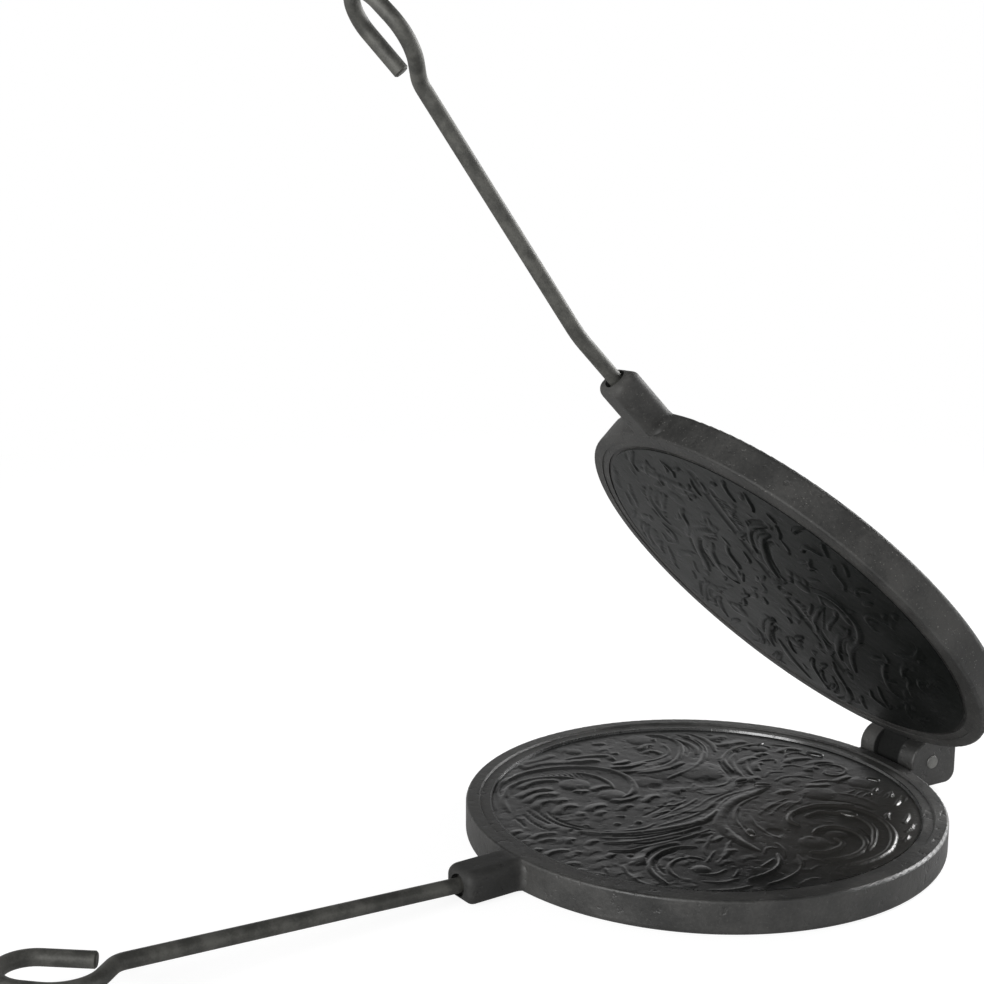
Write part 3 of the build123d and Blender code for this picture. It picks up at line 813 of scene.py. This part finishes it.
def hinge_painted_shade(n, place, sides=KNUCKLE_SHADE_SIDES):
    """Mask of the painted shade in the hinge: 1 between the ears and 0 elsewhere, from the distance to the
    pin.
    """
    axes = n.axes(place)
    out = n.math("SUBTRACT", axes["X"], HINGE.x)
    above = n.math("SUBTRACT", axes["Z"], HINGE.z)
    far = n.math("SQRT", n.math("ADD", n.math("POWER", out, 2), n.math("POWER", above, 2)))
    aside = n.math("ABSOLUTE", axes["Y"])
    near = n.ramp(far, *HINGE_SHADE_REACH, 1, 0)
    return n.math("MULTIPLY", near, n.ramp(aside, *sides, 1, 0))


def painted_light_patch(n, place, colour):
    """Browner, lighter iron on the claw side of the face: painted light for the light and glints there."""
    off = n.add("ShaderNodeVectorMath", operation="DISTANCE")
    n.set(off.inputs[0], place)
    n.set(off.inputs[1], LIT_PATCH_MIDDLE)
    return n.mix(n.ramp(off.outputs["Value"], *LIT_PATCH_REACH, LIT_PATCH_AMOUNT, 0), colour, LIT_PATCH_COLOUR)


def iron(
    name, dark, light, rough, grain, pits, specular=0.5, glint_specks=0.25, painted_shade=None, lit_patch=False,
    metal=0.2,
):
    """Seasoned sand-cast iron: mottled tone, uneven sheen, fine grain and small pits."""
    n = Nodes(bpy.data.materials.new(name))
    place = n.add("ShaderNodeTexCoord").outputs["Object"]
    cloud = n.noise(place, scale=60, detail=4)
    fine = n.noise(place, scale=900, detail=5, roughness=0.65)
    coarse = n.noise(place, scale=320)
    # Light specks in the colour: painted glints of the rough skin
    glint_speck = n.ramp(n.noise(place, scale=1400, detail=2), *GLINT_SPECK_SPAN)
    tone = n.share(cloud, fine, part=0.7)
    colour = n.mix(n.ramp(tone, *IRON_TONE_SPAN), dark, light)
    # Painted light: a lighter, browner patch on the claw side
    if lit_patch:
        colour = painted_light_patch(n, place, colour)
    colour = n.mix(n.math("MULTIPLY", glint_speck, glint_specks), colour, GLINT_SPECK_COLOUR)
    sheen = n.ramp(tone, *SHEEN_SPAN, *rough)
    # Painted shade: darker, rougher iron where the mask is
    if painted_shade:
        shade_mask = painted_shade(n, place)
        colour = n.mix(shade_mask, colour, PAINTED_SHADE_COLOUR)
        sheen = n.math("ADD", sheen, n.math("MULTIPLY", shade_mask, PAINTED_SHADE_ROUGHENS), clamp=True)
    skin = n.bump(coarse, strength=grain, distance=0.0003)
    skin = n.bump(fine, strength=grain, distance=0.00015, normal=skin)
    pitted = n.ramp(coarse, *PIT_SPAN)
    return n.principled({
        "Base Color": colour,
        "Roughness": sheen,
        "Metallic": metal,
        "Specular IOR Level": specular,
        "Normal": n.bump(pitted, strength=pits, distance=0.0003, normal=skin),
    })


def steel(name, dark, light, rough):
    """Drawn rod with an oxide skin: faint blotches and a soft sheen."""
    n = Nodes(bpy.data.materials.new(name))
    place = n.add("ShaderNodeTexCoord").outputs["Object"]
    blotch = n.noise(place, scale=140, detail=4)
    fine = n.noise(place, scale=1500, detail=4, roughness=0.6)
    tone = n.share(blotch, fine, part=0.75)
    skin = n.bump(blotch, strength=0.15, distance=0.0003)
    return n.principled({
        "Base Color": n.mix(n.ramp(tone, *STEEL_TONE_SPAN), dark, light),
        "Roughness": n.ramp(tone, *SHEEN_SPAN, *rough),
        "Metallic": 0.4,
        "Normal": n.bump(fine, strength=0.12, distance=0.0001, normal=skin),
    })


CAST_DARK, CAST_LIGHT = (0.026, 0.026, 0.025), (0.062, 0.061, 0.058)
CARVED_DARK, CARVED_LIGHT = (0.0128, 0.0133, 0.0128), (0.0255, 0.026, 0.0255)
# Darker copy of the face iron for the upper face, which looks down: painted shade
SHADED_DULL_DARK, SHADED_DULL_LIGHT = (0.006, 0.007, 0.0065), (0.015, 0.016, 0.0155)
# The plate's iron carries the painted shade on the lower socket and between the ears
casting = iron(
    "cast_iron", CAST_DARK, CAST_LIGHT, rough=(0.42, 0.58), grain=0.6, pits=0.5, specular=0.7,
    painted_shade=socket_painted_shade,
)
# The upper plate's iron carries the painted shade in the hinge and many painted glint specks
hinge_shaded = iron(
    "hinge_shaded_iron", CAST_DARK, CAST_LIGHT, rough=(0.56, 0.7), grain=0.4, pits=0.45, glint_specks=0.8,
    painted_shade=hinge_painted_shade,
)
# The face iron carries the painted light patch and many painted glint specks
carved = iron(
    "carved_iron", CARVED_DARK, CARVED_LIGHT, rough=(0.28, 0.4), grain=0.25, pits=0.2,
    specular=0.9, glint_specks=0.7, lit_patch=True,
)
seasoned = iron(
    "seasoned_iron", CARVED_DARK, CARVED_LIGHT, rough=(0.2, 0.32), grain=0.2, pits=0.2,
    specular=1.0,
)
# The upper face: low sheen, and a darker colour that is painted shade
shaded_dull = iron(
    "shaded_dull_iron", SHADED_DULL_DARK, SHADED_DULL_LIGHT, rough=(0.36, 0.46), grain=0.2, pits=0.15,
    specular=0.1, metal=0.0,
)
rod = steel("rod_steel", (0.056, 0.056, 0.051), (0.12, 0.119, 0.108), rough=(0.52, 0.64))
pin = steel("pin_steel", (0.12, 0.12, 0.115), (0.2, 0.2, 0.19), rough=(0.4, 0.55))

finishes = {
    "lower_plate": casting, "upper_plate": hinge_shaded, "lower_handle": rod,
    "upper_handle": rod, "hinge_pin": pin,
}
for node, material in finishes.items():
    for holder in frame["nodes"][node].material_slots:
        holder.material = material
relief = (
    (lower_relief, "lower", carved), (lower_bosses, "lower", carved),
    (recess_wall, "lower", seasoned), (upper_relief, "upper", shaded_dull),
)
for piece, body, material in relief:
    piece.data.materials.append(material)
    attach(piece, body)


# Floor, world and lamps

def make_floor():
    """Pale floor: grey for the light on the iron, and white away from it for the camera."""
    data = bpy.data.meshes.new("floor")
    turns = ((-1, -1), (1, -1), (1, 1), (-1, 1))
    data.from_pydata([(FLOOR_HALF * x, FLOOR_HALF * y, 0) for x, y in turns], [], [(0, 1, 2, 3)])
    floor = bpy.data.objects.new("floor", data)
    bpy.context.collection.objects.link(floor)
    n = Nodes(bpy.data.materials.new("pale_floor"))
    reach = n.add("ShaderNodeVectorMath", operation="LENGTH")
    n.set(reach.inputs[0], n.add("ShaderNodeTexCoord").outputs["Object"])
    edge = n.ramp(reach.outputs["Value"], FLOOR_NEAR, FLOOR_FAR)
    bounced = n.join("ShaderNodeAddShader", n.grey(FLOOR_GREY), n.glow(FLOOR_GLOW))
    near = n.join("ShaderNodeAddShader", n.grey(SEEN_GREY), n.glow(SEEN_GLOW))
    shown = n.join("ShaderNodeMixShader", near, n.glow(1), edge)
    seen = n.seen(n.add("ShaderNodeLightPath"))
    n.surface(n.join("ShaderNodeMixShader", bounced, shown, seen))
    data.materials.append(n.owner)


def make_world():
    """White where the camera looks; for light and reflections, white low down and dim above."""
    world = bpy.data.worlds.new("studio")
    bpy.context.scene.world = world
    n = Nodes(world, "ShaderNodeOutputWorld")
    height = n.axes(n.add("ShaderNodeTexCoord").outputs["Generated"])["Z"]
    path = n.add("ShaderNodeLightPath")
    mirrored = n.ramp(height, WORLD_LOW, WORLD_HIGH, 1, WORLD_TOP)
    lit = n.ramp(height, WORLD_LOW, WORLD_HIGH, WORLD_SIDE, WORLD_TOP_LIGHT)
    strength = n.ramp(path.outputs["Is Glossy Ray"], 0, 1, lit, mirrored)
    background = n.add("ShaderNodeBackground")
    n.set(background.inputs["Strength"], n.ramp(n.seen(path), 0, 1, strength, 1))
    n.set(background.inputs["Color"], (1, 1, 1, 1))
    n.surface(background)


def area_light(name, place, size, power):
    """Rectangular lamp that looks at the middle of the iron, in metres and watts."""
    data = bpy.data.lights.new(name, "AREA")
    data.shape = "RECTANGLE"
    data.size, data.size_y = size
    data.energy = power
    lamp = bpy.data.objects.new(name, data)
    bpy.context.collection.objects.link(lamp)
    lamp.location = place
    towards = LAMP_AIM - Vector(place)
    lamp.rotation_mode = "QUATERNION"
    lamp.rotation_quaternion = towards.to_track_quat("-Z", "Y")


make_floor()
make_world()
area_light("left", (-1.5, -0.5, 0.62), (0.9, 0.7), 21)
area_light("right", (1.3, -1.0, 0.4), (0.9, 0.6), 2.8)
area_light("far_right", (1.42, 0.2, 0.68), (0.6, 0.5), 20)
area_light("low_right", (1.5, -0.05, 0.25), (0.9, 0.3), 2)
area_light("top", (0.1, 0.3, 1.7), (1.0, 0.9), 2)

bpy.context.scene.view_settings.view_transform = "Standard"
